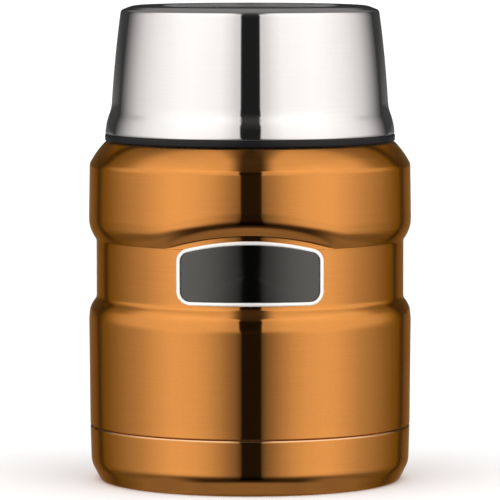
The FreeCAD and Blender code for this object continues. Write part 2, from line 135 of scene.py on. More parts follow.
def new_shape(name, sizes):
    """A Geometry Nodes tree with a named input for each size. Sizes come as {name: default}."""
    tree = bpy.data.node_groups.new(name, "GeometryNodeTree")
    tree.interface.new_socket("Geometry", in_out="INPUT", socket_type="NodeSocketGeometry")
    tree.interface.new_socket("Geometry", in_out="OUTPUT", socket_type="NodeSocketGeometry")
    for label, value in sizes.items():
        kind = "NodeSocketInt" if isinstance(value, int) else "NodeSocketFloat"
        tree.interface.new_socket(label, in_out="INPUT", socket_type=kind).default_value = value
    tree.interface.new_socket("Material", in_out="INPUT", socket_type="NodeSocketMaterial")
    return tree, tree.nodes.new("NodeGroupInput").outputs


def finished(tree, geometry, given):
    """End a tree: its instances become real and the piece gets its material."""
    real = add(tree, "GeometryNodeRealizeInstances", {0: geometry}).outputs[0]
    coated = add(tree, "GeometryNodeSetMaterial", {"Geometry": real, "Material": given["Material"]})
    add(tree, "NodeGroupOutput", {0: coated.outputs[0]})


def shaped(name, start, steps, wall=0.0):
    """A plain mesh piece, made from a start mesh by trees and their sizes, one after another.

    Each step is (tree, {input name: value}). A wall gives the finished sheet its thickness inwards.
    """
    piece = bpy.data.objects.new(name, start)
    bpy.context.scene.collection.objects.link(piece)
    for tree, sizes in steps:
        grow = piece.modifiers.new(tree.name, "NODES")
        grow.node_group = tree
        for item in tree.interface.items_tree:
            if item.in_out == "INPUT" and item.name in sizes:
                grow[item.identifier] = sizes[item.name]
    if wall:
        thicken = piece.modifiers.new("wall", "SOLIDIFY")
        thicken.thickness = wall
        thicken.offset = -1
        thicken.use_even_offset = True
    made = bpy.data.meshes.new_from_object(piece.evaluated_get(bpy.context.evaluated_depsgraph_get()))
    made.set_sharp_from_angle(angle=math.radians(40))
    made.materials.clear()
    made.materials.append(steps[-1][1]["Material"])
    piece.modifiers.clear()
    piece.data = made
    made.name = name
    return piece


def outline_mesh(points):
    """The points of a section as a mesh in the XZ plane, for a tree to turn round the axis."""
    mesh = bpy.data.meshes.new("section")
    mesh.from_pydata([(radius, 0, height) for radius, height in points], [], [])
    return mesh


# Turned: a grid whose rows take their radius and height from the section's points, once round the axis.
tree, given = new_shape("turned", {"Columns": 240})
rows = add(tree, "GeometryNodeAttributeDomainSize", {0: given["Geometry"]}).outputs["Point Count"]
around = add(tree, "ShaderNodeMath", {0: given["Columns"], 1: 1.0}, operation="ADD").outputs[0]
grid = add(
    tree, "GeometryNodeMeshGrid", {"Size X": 1.0, "Size Y": 1.0, "Vertices X": rows, "Vertices Y": around}
).outputs["Mesh"]
place = add(tree, "GeometryNodeInputPosition").outputs[0]
on_grid = add(tree, "ShaderNodeSeparateXYZ", {0: place}).outputs
last_row = add(tree, "ShaderNodeMath", {0: rows, 1: 1.0}, operation="SUBTRACT").outputs[0]
share = add(tree, "ShaderNodeMath", {0: on_grid["X"], 1: 0.5}, operation="ADD").outputs[0]
row = add(tree, "ShaderNodeMath", {0: share, 1: last_row}, operation="MULTIPLY").outputs[0]
row = add(tree, "ShaderNodeMath", {0: row}, operation="ROUND").outputs[0]
spot = add(
    tree, "GeometryNodeSampleIndex", {"Geometry": given["Geometry"], "Value": place, "Index": row},
    data_type="FLOAT_VECTOR",
).outputs["Value"]
turn = add(tree, "ShaderNodeMath", {0: on_grid["Y"], 1: 2 * math.pi}, operation="MULTIPLY").outputs[0]
swung = add(
    tree, "ShaderNodeVectorRotate", {"Vector": spot, "Angle": turn, "Axis": (0, 0, 1)},
    rotation_type="AXIS_ANGLE",
).outputs[0]
bent = add(tree, "GeometryNodeSetPosition", {"Geometry": grid, "Position": swung}).outputs[0]
merged = add(tree, "GeometryNodeMergeByDistance", {"Geometry": bent, "Distance": 1e-6}).outputs[0]
outward = add(tree, "GeometryNodeFlipFaces", {"Mesh": merged}).outputs[0]
smooth = add(tree, "GeometryNodeSetShadeSmooth", {"Geometry": outward}).outputs[0]
finished(tree, smooth, given)
turned = tree

# Pressed arch: in front, each point moves in to the flank that rises from the arch's line on the waist.
# Brow and crease are how softly the flank's upper and lower edges are rounded.
tree, given = new_shape("pressed_arch", {
    "Waist Radius": 0.0, "Arch Bottom": 0.0, "Half Width": 0.0, "Rise": 0.0, "Run": 1.0, "Brow": 0.0,
    "Crease": 0.0,
})
place = add(tree, "GeometryNodeInputPosition").outputs[0]
spot = add(tree, "ShaderNodeSeparateXYZ", {0: place}).outputs
flat = add(tree, "ShaderNodeVectorMath", {0: place, 1: (1, 1, 0)}, operation="MULTIPLY").outputs[0]
reach = add(tree, "ShaderNodeVectorMath", {0: flat}, operation="LENGTH").outputs["Value"]
facing = add(tree, "ShaderNodeVectorMath", {0: flat}, operation="NORMALIZE").outputs[0]
side = add(tree, "ShaderNodeSeparateXYZ", {0: facing}).outputs["X"]
side = add(tree, "ShaderNodeMath", {0: side, 1: given["Waist Radius"]}, operation="MULTIPLY").outputs[0]
side_squared = add(tree, "ShaderNodeMath", {0: side, 1: side}, operation="MULTIPLY").outputs[0]
half_squared = add(
    tree, "ShaderNodeMath", {0: given["Half Width"], 1: given["Half Width"]}, operation="MULTIPLY"
).outputs[0]
rise_squared = add(
    tree, "ShaderNodeMath", {0: given["Rise"], 1: given["Rise"]}, operation="MULTIPLY"
).outputs[0]
both = add(tree, "ShaderNodeMath", {0: half_squared, 1: rise_squared}, operation="ADD").outputs[0]
double_rise = add(tree, "ShaderNodeMath", {0: given["Rise"], 1: 2.0}, operation="MULTIPLY").outputs[0]
bend = add(tree, "ShaderNodeMath", {0: both, 1: double_rise}, operation="DIVIDE").outputs[0]
bend_squared = add(tree, "ShaderNodeMath", {0: bend, 1: bend}, operation="MULTIPLY").outputs[0]
fall = add(tree, "ShaderNodeMath", {0: bend_squared, 1: side_squared}, operation="SUBTRACT").outputs[0]
fall = add(tree, "ShaderNodeMath", {0: fall}, operation="SQRT").outputs[0]
fall = add(tree, "ShaderNodeMath", {0: bend, 1: fall}, operation="SUBTRACT").outputs[0]
top = add(tree, "ShaderNodeMath", {0: given["Arch Bottom"], 1: given["Rise"]}, operation="ADD").outputs[0]
line = add(tree, "ShaderNodeMath", {0: top, 1: fall}, operation="SUBTRACT").outputs[0]
above = add(tree, "ShaderNodeMath", {0: spot["Z"], 1: line}, operation="SUBTRACT").outputs[0]
flank = add(tree, "ShaderNodeMath", {0: above, 1: given["Run"]}, operation="DIVIDE").outputs[0]
flank = add(
    tree, "ShaderNodeMath", {0: flank, 1: 0.0, 2: given["Crease"]}, operation="SMOOTH_MAX"
).outputs[0]
outside = add(tree, "ShaderNodeMath", {0: reach, 1: given["Waist Radius"]}, operation="SUBTRACT").outputs[0]
brow = add(tree, "ShaderNodeMath", {0: outside, 1: given["Brow"]}, operation="MINIMUM").outputs[0]
pressed = add(tree, "ShaderNodeMath", {0: outside, 1: flank, 2: brow}, operation="SMOOTH_MIN").outputs[0]
pressed = add(tree, "ShaderNodeMath", {0: pressed, 1: given["Waist Radius"]}, operation="ADD").outputs[0]
moved = add(tree, "ShaderNodeVectorMath", {0: facing, "Scale": pressed}, operation="SCALE").outputs[0]
lift = add(tree, "ShaderNodeCombineXYZ", {"Z": spot["Z"]}).outputs[0]
moved = add(tree, "ShaderNodeVectorMath", {0: moved, 1: lift}, operation="ADD").outputs[0]
in_front = add(tree, "ShaderNodeMath", {0: spot["Y"], 1: 0.0}, operation="LESS_THAN").outputs[0]
over = add(
    tree, "ShaderNodeMath", {0: spot["Z"], 1: given["Arch Bottom"]}, operation="GREATER_THAN"
).outputs[0]
proud = add(tree, "ShaderNodeMath", {0: outside, 1: 0.0}, operation="GREATER_THAN").outputs[0]
chosen = add(tree, "ShaderNodeMath", {0: in_front, 1: over}, operation="MULTIPLY").outputs[0]
chosen = add(tree, "ShaderNodeMath", {0: chosen, 1: proud}, operation="MULTIPLY").outputs[0]
bent = add(
    tree, "GeometryNodeSetPosition", {"Geometry": given["Geometry"], "Selection": chosen, "Position": moved}
).outputs[0]
finished(tree, bent, given)
pressed_arch = tree


def linear(code):
    """A colour from its sRGB hex code, as linear red, green, blue and alpha."""
    parts = [int(code[i:i + 2], 16) / 255 for i in (1, 3, 5)]
    return (*[c / 12.92 if c <= 0.04045 else ((c + 0.055) / 1.055) ** 2.4 for c in parts], 1)


def new_material(name):
    """An empty material, its node tree and its output."""
    finish = bpy.data.materials.new(name)
    finish.use_nodes = True
    finish.node_tree.nodes.clear()
    return finish, finish.node_tree, finish.node_tree.nodes.new("ShaderNodeOutputMaterial")


def brushed_steel(name, colour, edge, roughness, lacquer, glow, grain, depth, painted_highlight_above=None):
    """Steel brushed round the axis: fine streaks run round it, in its colour, its roughness and its surface.

    Real brush lines are about 0.05 mm apart, finer than the picture shows, so they are drawn coarser. Grain
    is the size of the lacquer's or polish's speckle in mm, and depth how much it and the lines show. Glow is
    the light that the lacquer scatters at the edges of the form. Above the given height, if any, a pale
    copper highlight is painted into the colour along the rounded top edge: painted light, not bare steel.
    """
    line_spacing = 0.3 * mm
    finish, tree, output = new_material(name)
    place = add(tree, "ShaderNodeTexCoord").outputs["Object"]
    flat = add(tree, "ShaderNodeVectorMath", {0: place, 1: (1, 1, 0)}, operation="MULTIPLY").outputs[0]
    reach = add(tree, "ShaderNodeVectorMath", {0: flat}, operation="LENGTH").outputs["Value"]
    round_axis = add(tree, "ShaderNodeVectorMath", {0: flat}, operation="NORMALIZE").outputs[0]
    height = add(tree, "ShaderNodeSeparateXYZ", {0: place}).outputs["Z"]
    along = add(tree, "ShaderNodeMath", {0: reach, 1: height}, operation="ADD").outputs[0]
    rate = add(tree, "ShaderNodeMath", {0: along, 1: 1 / line_spacing}, operation="MULTIPLY").outputs[0]
    lift = add(tree, "ShaderNodeCombineXYZ", {"Z": rate}).outputs[0]
    spread = add(
        tree, "ShaderNodeVectorMath", {0: round_axis, 1: (2.2, 2.2, 0)}, operation="MULTIPLY"
    ).outputs[0]
    path = add(tree, "ShaderNodeVectorMath", {0: spread, 1: lift}, operation="ADD").outputs[0]
    lines = add(tree, "ShaderNodeTexNoise", {"Vector": path, "Scale": 1.0, "Detail": 3.0}).outputs["Fac"]
    speckle = add(
        tree, "ShaderNodeTexNoise", {"Vector": place, "Scale": 1 / (grain * mm), "Detail": 1.0}
    ).outputs["Fac"]
    mixed = add(tree, "ShaderNodeMix", {0: 0.5, 2: lines, 3: speckle}).outputs[0]
    shade = add(
        tree, "ShaderNodeMapRange",
        {"Value": mixed, "From Min": 0.3, "From Max": 0.7, "To Min": 1 - depth, "To Max": 1 + depth},
    ).outputs[0]
    tint = add(
        tree, "ShaderNodeVectorMath", {0: linear(colour)[:3], "Scale": shade}, operation="SCALE"
    ).outputs[0]
    # Painted highlight: above this height the colour turns pale copper, standing in for the light the rounded
    # top edge catches.
    if painted_highlight_above:
        painted_edge_highlight = add(
            tree, "ShaderNodeMapRange",
            {"Value": height, "From Min": painted_highlight_above, "From Max": painted_highlight_above + 0.1 * mm},
        ).outputs[0]
        tint = add(
            tree, "ShaderNodeMix", {0: painted_edge_highlight, 6: tint, 7: linear("#F8D2A6")}, data_type="RGBA"
        ).outputs[2]
    gloss = add(
        tree, "ShaderNodeMapRange",
        {
            "Value": lines, "From Min": 0.3, "From Max": 0.7,
            "To Min": roughness * 0.85, "To Max": roughness * 1.15,
        },
    ).outputs[0]
    relief = add(tree, "ShaderNodeBump", {"Height": lines, "Strength": 0.1, "Distance": 0.01 * mm}).outputs[0]
    around = add(tree, "ShaderNodeTangent", direction_type="RADIAL", axis="Z").outputs[0]
    shader = add(
        tree, "ShaderNodeBsdfPrincipled",
        {
            "Base Color": tint, "Metallic": 1.0, "Roughness": gloss, "Anisotropic": 0.5,
            "Anisotropic Rotation": 0.25, "Tangent": around, "Normal": relief,
            "Specular Tint": linear(edge), "Coat Weight": lacquer, "Coat Roughness": 0.03,
            "Sheen Weight": glow, "Sheen Roughness": 0.3, "Sheen Tint": linear(edge),
        },
    )
    tree.links.new(shader.outputs[0], output.inputs[0])
    return finish


# Clear lacquer tinted copper over brushed steel: the colour is deep and even, and each reflection has a
# soft edge from the brushing with a thin sharp one over it from the lacquer.
copper_lacquer = {
    "colour": "#DD9148", "edge": "#F0B86F", "roughness": 0.06, "lacquer": 0.05, "glow": 0.3, "grain": 0.35,
    "depth": 0.05,
}
copper_steel = brushed_steel("tinted_lacquer_on_brushed_steel", **copper_lacquer)

shell_section = section([
    (skirt_band_radius, shell_low.z),
    (skirt_band_radius, seam_z, 0.2 * mm),
    (cover_radius, seam_z, 0.4 * mm),
    (body_radius, lower_top, 2.0 * mm),
    (waist_radius, waist_low, 0.9 * mm, 0.55 * mm),
    (waist_radius, waist_top, 0.4 * mm, 0, 24),
    (body_radius, bulge_low, 1.3 * mm, 0.35 * mm, 24),
    (bulge_top_radius, bulge_top, 0.7 * mm, 0, 48),
    (land_radius, land_z, 0.15 * mm, 0.3 * mm),
    (neck_radius, land_z, 0.8 * mm),
    (neck_radius, lip_z),
])
outer_shell = shaped("shell_skin", outline_mesh(shell_section), [
    (turned, {"Columns": 256, "Material": copper_steel}),
    (pressed_arch, {
        "Waist Radius": waist_radius, "Arch Bottom": waist_top, "Half Width": arch_half_width,
        "Rise": arch_rise, "Run": arch_run, "Brow": arch_brow, "Crease": arch_crease,
        "Material": copper_steel,
    }),
], wall=shell_wall)
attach(outer_shell, "jar")
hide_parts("outer_shell")

# Inside the walls
# The steel vessel for the food, whose rim is welded over the shell's neck, the foil round it, and the plate
# that closes the vacuum space, with its sealed port, its getter and the getter's strip. All are hidden.


def dressed(names, finish):
    """Give CAD nodes their finish."""
    for name in names:
        nodes[name].data.materials.clear()
        nodes[name].data.materials.append(finish)


def metal(name, colour, roughness, grain, depth):
    """Bare metal with a speckle of its grain, in mm, in its colour and its roughness."""
    finish, tree, output = new_material(name)
    place = add(tree, "ShaderNodeTexCoord").outputs["Object"]
    speckle = add(
        tree, "ShaderNodeTexNoise", {"Vector": place, "Scale": 1 / (grain * mm), "Detail": 3.0}
    ).outputs["Fac"]
    shade = add(
        tree, "ShaderNodeMapRange",
        {"Value": speckle, "From Min": 0.3, "From Max": 0.7, "To Min": 1 - depth, "To Max": 1 + depth},
    ).outputs[0]
    tint = add(
        tree, "ShaderNodeVectorMath", {0: linear(colour)[:3], "Scale": shade}, operation="SCALE"
    ).outputs[0]
    gloss = add(tree, "ShaderNodeMath", {0: shade, 1: roughness}, operation="MULTIPLY").outputs[0]
    relief = add(
        tree, "ShaderNodeBump", {"Height": speckle, "Strength": depth, "Distance": 0.02 * mm}
    ).outputs[0]
    shader = add(
        tree, "ShaderNodeBsdfPrincipled",
        {"Base Color": tint, "Metallic": 1.0, "Roughness": gloss, "Normal": relief},
    )
    tree.links.new(shader.outputs[0], output.inputs[0])
    return finish


# Electropolished stainless steel is bright and slightly soft, with the drawing's rings just showing.
vessel_steel = brushed_steel(
    "electropolished_stainless_steel", "#E2E0DD", "#FFFFFF", roughness=0.16, lacquer=0.0, glow=0.0,
    grain=0.6, depth=0.04,
)
dressed(["inner_liner"], vessel_steel)
# Rolled foil is bright and crinkled, and cold rolled plate is duller with a fine even grain.
dressed(["radiation_foil"], metal("rolled_aluminium_foil", "#EBEBEE", 0.22, 2.5, 0.25))
dressed(["shell_bottom", "getter_clip"], metal("cold_rolled_stainless_plate", "#C4C2C0", 0.34, 0.4, 0.08))
# The braze is a warm dull bead, and the getter a dark sintered pellet.
dressed(["vacuum_seal"], metal("nickel_braze", "#B9A886", 0.38, 0.5, 0.12))
dressed(["getter"], metal("sintered_getter_powder", "#4A4A4C", 0.75, 0.15, 0.2))

# Base cover
# A shallow drawn cup of the same lacquered steel, glued on the shell's skirt over the closed vacuum space.
# Its foot is a chamfer with a flat ring to stand on and a recessed middle.
foot_cone_height = 5.3 * mm
foot_cone_run = 2.7 * mm
foot_width = 4.2 * mm
foot_recess = 1.2 * mm
cover_draft = 0.35 * mm
cover_wall = 0.5 * mm
cut_edge = 0.4 * mm
cover_low_radius = cover_radius - cover_draft
toe = cover_low_radius - foot_cone_run
heel = toe - foot_width
cover_section = section([
    (0, foot_recess),
    (heel - foot_recess, foot_recess, 0.6 * mm),
    (heel, 0, 0.6 * mm),
    (toe, 0, 0.8 * mm),
    (cover_low_radius, foot_cone_height, 1.6 * mm),
    (cover_radius, cover_high.z - cut_edge, 0.3 * mm),
    (cover_radius - 0.3 * mm, cover_high.z),
])
# The same lacquer, with a thin pale highlight painted into its colour along the cup's cut edge at the seam.
copper_steel_with_painted_highlight = brushed_steel(
    "tinted_lacquer_with_painted_edge_highlight", **copper_lacquer, painted_highlight_above=cover_high.z - cut_edge
)
base_cover = shaped(
    "cover_skin", outline_mesh(cover_section), [(turned, {"Columns": 240, "Material": copper_steel_with_painted_highlight})],
    wall=cover_wall,
)
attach(base_cover, "jar")
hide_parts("base_cover")

# Adhesive
# The ring of epoxy that holds the cover on the shell's skirt, and the pad that holds the plate in the
# waist. Both are hidden by the pieces they hold.


def moulded(name, colour, roughness, grain, depth, relief_depth, shine=0.5):
    """Moulded or cast plastic, rubber or glue, with a fine grain, in mm, in its colour and surface."""
    finish, tree, output = new_material(name)
    place = add(tree, "ShaderNodeTexCoord").outputs["Object"]
    skin_grain = add(
        tree, "ShaderNodeTexNoise", {"Vector": place, "Scale": 1 / (grain * mm), "Detail": 2.0}
    ).outputs["Fac"]
    shade = add(
        tree, "ShaderNodeMapRange",
        {"Value": skin_grain, "From Min": 0.3, "From Max": 0.7, "To Min": 1 - depth, "To Max": 1 + depth},
    ).outputs[0]
    tint = add(
        tree, "ShaderNodeVectorMath", {0: linear(colour)[:3], "Scale": shade}, operation="SCALE"
    ).outputs[0]
    gloss = add(tree, "ShaderNodeMath", {0: shade, 1: roughness}, operation="MULTIPLY").outputs[0]
    relief = add(
        tree, "ShaderNodeBump", {"Height": skin_grain, "Strength": 0.3, "Distance": relief_depth * mm}
    ).outputs[0]
    shader = add(
        tree, "ShaderNodeBsdfPrincipled",
        {"Base Color": tint, "Roughness": gloss, "Normal": relief, "IOR": 1.49, "Specular IOR Level": shine},
    )
    tree.links.new(shader.outputs[0], output.inputs[0])
    return finish


# Cured adhesive is pale and a little uneven, with a dull gloss.
dressed(["base_bond", "badge_pad"], moulded("cured_epoxy_adhesive", "#C9C4B8", 0.45, 1.2, 0.08, 0.05))

# Neck collar
# A sleeve of moulded black plastic pushed over the steel neck, with the three-start thread that the lid
# screws on. Each ridge follows a helix and runs out into the sleeve at both ends.
collar_radius = neck_radius + 1.2 * mm
collar_bore = neck_radius + 0.1 * mm
collar_root = 0.9 * mm
collar_edge = 0.37 * mm
collar_top = lip_z - 0.2 * mm
thread_height = 1.2 * mm
thread_play = 0.4 * mm
thread_lead = 12 * mm
flank_offset = 1.7 * mm
collar_thread_z = land_z + 3.2 * mm
thread_form = {
    "Lead": thread_lead, "Starts": 3, "Foot": 1.9 * mm, "Crest": 0.9 * mm, "Bite": 0.2 * mm, "Fade": 16.0,
}

# Screw thread: five rows of a grid close round a ridge's four corners, and its columns climb the helix. The
# ridge shrinks to a point at both ends. First turn and fade are in degrees, and turns is 1 for once round.
tree, given = new_shape("screw_thread", {
    "Wall Radius": 0.0, "Height": 0.0, "Low": 0.0, "First Turn": 0.0, "Turns": 0.5, "Lead": 0.0, "Starts": 3,
    "Foot": 0.0, "Crest": 0.0, "Bite": 0.0, "Fade": 16.0, "Steps": 60,
})
grid_steps = add(tree, "ShaderNodeMath", {0: given["Steps"], 1: 1.0}, operation="ADD").outputs[0]
grid = add(
    tree, "GeometryNodeMeshGrid", {"Size X": 1.0, "Size Y": 4.0, "Vertices X": grid_steps, "Vertices Y": 5}
).outputs["Mesh"]
place = add(tree, "GeometryNodeInputPosition").outputs[0]
on_grid = add(tree, "ShaderNodeSeparateXYZ", {0: place}).outputs
share = add(tree, "ShaderNodeMath", {0: on_grid["X"], 1: 0.5}, operation="ADD").outputs[0]
turned_by = add(tree, "ShaderNodeMath", {0: share, 1: given["Turns"]}, operation="MULTIPLY").outputs[0]
degrees_in = add(tree, "ShaderNodeMath", {0: turned_by, 1: 360.0}, operation="MULTIPLY").outputs[0]
span = add(tree, "ShaderNodeMath", {0: given["Turns"], 1: 360.0}, operation="MULTIPLY").outputs[0]
degrees_left = add(tree, "ShaderNodeMath", {0: span, 1: degrees_in}, operation="SUBTRACT").outputs[0]
nearest = add(tree, "ShaderNodeMath", {0: degrees_in, 1: degrees_left}, operation="MINIMUM").outputs[0]
faded = add(tree, "ShaderNodeMath", {0: nearest, 1: given["Fade"]}, operation="DIVIDE").outputs[0]
faded = add(tree, "ShaderNodeMath", {0: faded, 1: 1.0}, operation="MINIMUM").outputs[0]
faded = add(tree, "ShaderNodeMath", {0: faded, 1: math.pi / 2}, operation="MULTIPLY").outputs[0]
rise = add(tree, "ShaderNodeMath", {0: faded}, operation="SINE").outputs[0]
from_tip = add(tree, "ShaderNodeMath", {0: on_grid["Y"], 1: 0.5}, operation="ADD").outputs[0]
from_tip = add(tree, "ShaderNodeMath", {0: from_tip}, operation="ABSOLUTE").outputs[0]
at_tip = add(tree, "ShaderNodeMath", {0: from_tip, 1: 0.75}, operation="LESS_THAN").outputs[0]
from_top = add(tree, "ShaderNodeMath", {0: on_grid["Y"], 1: -0.5}, operation="ADD").outputs[0]
from_top = add(tree, "ShaderNodeMath", {0: from_top}, operation="ABSOLUTE").outputs[0]
at_top = add(tree, "ShaderNodeMath", {0: from_top, 1: 0.75}, operation="LESS_THAN").outputs[0]
upward = add(tree, "ShaderNodeMapRange", {"Value": at_top, "To Min": -0.5, "To Max": 0.5}).outputs[0]
inwards = add(tree, "ShaderNodeMath", {0: given["Height"], 1: 0.0}, operation="LESS_THAN").outputs[0]
bite_way = add(tree, "ShaderNodeMapRange", {"Value": inwards, "To Min": -1.0, "To Max": 1.0}).outputs[0]
root_out = add(tree, "ShaderNodeMath", {0: bite_way, 1: given["Bite"]}, operation="MULTIPLY").outputs[0]
root = add(tree, "ShaderNodeMath", {0: root_out, 1: given["Wall Radius"]}, operation="ADD").outputs[0]
tip_out = add(tree, "ShaderNodeMath", {0: given["Height"], 1: root_out}, operation="SUBTRACT").outputs[0]
tip_out = add(tree, "ShaderNodeMath", {0: tip_out, 1: rise}, operation="MULTIPLY").outputs[0]
tip_out = add(tree, "ShaderNodeMath", {0: tip_out, 1: at_tip}, operation="MULTIPLY").outputs[0]
reach = add(tree, "ShaderNodeMath", {0: root, 1: tip_out}, operation="ADD").outputs[0]
width = add(
    tree, "ShaderNodeMapRange", {"Value": at_tip, "To Min": given["Foot"], "To Max": given["Crest"]}
).outputs[0]
width = add(tree, "ShaderNodeMath", {0: width, 1: rise}, operation="MULTIPLY").outputs[0]
off = add(tree, "ShaderNodeMath", {0: width, 1: upward}, operation="MULTIPLY").outputs[0]
climb = add(tree, "ShaderNodeMath", {0: turned_by, 1: given["Lead"]}, operation="MULTIPLY").outputs[0]
lift = add(tree, "ShaderNodeMath", {0: climb, 1: given["Low"]}, operation="ADD").outputs[0]
lift = add(tree, "ShaderNodeMath", {0: lift, 1: off}, operation="ADD").outputs[0]
spot = add(tree, "ShaderNodeCombineXYZ", {"X": reach, "Z": lift}).outputs[0]
swing = add(tree, "ShaderNodeMath", {0: degrees_in, 1: given["First Turn"]}, operation="ADD").outputs[0]
swing = add(tree, "ShaderNodeMath", {0: swing}, operation="RADIANS").outputs[0]
swung = add(
    tree, "ShaderNodeVectorRotate", {"Vector": spot, "Angle": swing, "Axis": (0, 0, 1)},
    rotation_type="AXIS_ANGLE",
).outputs[0]
bent = add(tree, "GeometryNodeSetPosition", {"Geometry": grid, "Position": swung}).outputs[0]
ridge = add(tree, "GeometryNodeMergeByDistance", {"Geometry": bent, "Distance": 1e-6}).outputs[0]
ridge = add(tree, "GeometryNodeFlipFaces", {"Mesh": ridge, "Selection": inwards}).outputs[0]
seats = add(tree, "GeometryNodeMeshLine", {"Count": given["Starts"], "Offset": (0, 0, 0)}).outputs[0]
number = add(tree, "GeometryNodeInputIndex").outputs[0]
step_round = add(tree, "ShaderNodeMath", {0: 2 * math.pi, 1: given["Starts"]}, operation="DIVIDE").outputs[0]
step_round = add(tree, "ShaderNodeMath", {0: step_round, 1: number}, operation="MULTIPLY").outputs[0]
facing = add(tree, "ShaderNodeCombineXYZ", {"Z": step_round}).outputs[0]
ridges = add(
    tree, "GeometryNodeInstanceOnPoints", {"Points": seats, "Instance": ridge, "Rotation": facing}
).outputs[0]
joined = add(tree, "GeometryNodeJoinGeometry")
tree.links.new(ridges, joined.inputs[0])
tree.links.new(given["Geometry"], joined.inputs[0])
finished(tree, joined.outputs[0], given)
screw_thread = tree


def closed(stations):
    """A closed section from its stations, which ends on its first point."""
    return outline_mesh(section([*stations, stations[0][:2]], run_steps=3, corner_steps=5))


# Moulded black polypropylene: nearly black, with a soft gloss and the fine grain of the mould.
black_plastic = moulded("moulded_black_polypropylene", "#131215", 0.3, 0.3, 0.06, 0.02, shine=0.25)
collar_section = closed([
    (collar_bore + collar_root, land_z),
    (collar_radius, land_z, 0.15 * mm),
    (collar_radius, collar_top - collar_edge, 0.12 * mm),
    (collar_radius - collar_edge, collar_top, 0.12 * mm),
    (collar_bore, collar_top, 0.1 * mm),
    (collar_bore, land_z + collar_root, 0.1 * mm),
])
neck_collar = shaped("neck_collar_skin", collar_section, [
    (turned, {"Columns": 180, "Material": black_plastic}),
    (screw_thread, {
        **thread_form, "Wall Radius": collar_radius, "Height": thread_height, "Low": collar_thread_z,
        "First Turn": 0.0, "Turns": 0.6, "Steps": 72, "Material": black_plastic,
    }),
])
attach(neck_collar, "jar")
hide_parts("neck_collar")

# Stopper
# A hollow moulded plug, filled with foam, with a thread that screws into the vessel's neck and a cap welded
# on it. A silicone ring in its groove seals it on the vessel's ledge.
neck_bore = neck_radius - 1.6 * mm
plug_radius = neck_bore - thread_height - thread_play
nose_radius = neck_bore - 3.1 * mm
ledge_z = lip_z - 17.9 * mm
groove_play = 0.15 * mm
gasket_low, gasket_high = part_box("stopper_gasket")
groove_low = gasket_low.z - groove_play
groove_high = gasket_high.z + groove_play
groove_radius = plug_radius - 3.3 * mm
plug_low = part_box("stopper_body")[0].z
plug_wall = 1.8 * mm
plug_chamfer = 2 * mm
stopper_turn = 20.0
stopper_thread_z = ledge_z + 5.6 * mm - flank_offset + thread_lead * stopper_turn / 360

# The stopper is dyed a shade lighter than the collars, with a duller mould finish.
stopper_plastic = moulded("moulded_charcoal_polypropylene", "#242427", 0.42, 0.35, 0.07, 0.03)
plug_section = outline_mesh(section([
    (0, plug_low),
    (nose_radius - plug_chamfer, plug_low, 0.4 * mm),
    (nose_radius, plug_low + plug_chamfer, 0.4 * mm),
    (nose_radius, groove_low, 0.1 * mm),
    (groove_radius, groove_low, 0.1 * mm),
    (groove_radius, groove_high, 0.1 * mm),
    (plug_radius, groove_high, 0.3 * mm),
    (plug_radius, collar_top),
    (plug_radius - plug_wall, collar_top),
    (plug_radius - plug_wall, groove_high + plug_wall, 0.3 * mm),
    (groove_radius - plug_wall, groove_high + plug_wall, 0.3 * mm),
    (groove_radius - plug_wall, plug_low + plug_wall, 0.3 * mm),
    (0, plug_low + plug_wall),
], run_steps=3, corner_steps=5))
plug = shaped("stopper_plug_skin", plug_section, [
    (turned, {"Columns": 180, "Material": stopper_plastic}),
    (screw_thread, {
        **thread_form, "Wall Radius": plug_radius, "Height": thread_height, "Low": stopper_thread_z,
        "First Turn": stopper_turn, "Turns": 0.5, "Steps": 60, "Material": stopper_plastic,
    }),
])
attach(plug, "stopper")
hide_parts("stopper_body")
dressed(["stopper_cap"], stopper_plastic)
# Foamed polystyrene is chalk white with a beaded grain, and silicone is milky grey and faintly shiny.
dressed(["stopper_foam"], moulded("foamed_polystyrene", "#F1F0EC", 0.8, 1.5, 0.05, 0.15))
silicone = moulded("moulded_silicone_rubber", "#CFCFCA", 0.38, 0.5, 0.04, 0.02)
dressed(["stopper_gasket", "lid_seal"], silicone)

# Lid collar and bowl
# The lid's moulded black ring shows as its dark rim. It carries the lid's inner thread, the groove for its
# seal and the sleeve that the lid's cup is glued over, and its seat holds the rim of the steel bowl.
ring_low, ring_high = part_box("lid_collar")
lid_low, lid_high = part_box("lid_shell")
skirt_radius = lid_high.x
rim_radius = ring_high.x
rim_z = ring_low.z
rim_top = lid_low.z
lid_bore = collar_radius + thread_height + thread_play
seal_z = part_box("lid_seal")[0].z - groove_play
seat_z = ring_high.z
sleeve_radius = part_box("lid_bowl")[1].x + 0.1 * mm
seal_groove = lid_bore - 0.15 * mm
seal_ledge = 0.9 * mm
ledge_low = seal_z - 1 * mm
upstand = skirt_radius - 0.8 * mm
upstand_wall = 1.2 * mm
upstand_top = rim_top + 1.2 * mm
lid_turn = 30.0
lid_thread_z = collar_thread_z - flank_offset + thread_lead * lid_turn / 360
ring_section = closed([
    (lid_bore, rim_z),
    (rim_radius, rim_z, 0.6 * mm),
    (rim_radius, rim_top, 0.6 * mm),
    (upstand, rim_top, 0.1 * mm),
    (upstand, upstand_top, 0.2 * mm),
    (upstand - upstand_wall, upstand_top, 0.2 * mm),
    (upstand - upstand_wall, rim_top, 0.1 * mm),
    (sleeve_radius, rim_top, 0.2 * mm),
    (sleeve_radius, seat_z, 0.1 * mm),
    (seal_groove, seat_z, 0.1 * mm),
    (seal_groove, seal_z, 0.1 * mm),
    (lid_bore - seal_ledge, seal_z, 0.1 * mm),
    (lid_bore - seal_ledge, ledge_low, 0.1 * mm),
    (lid_bore, ledge_low - seal_ledge, 0.1 * mm),
])
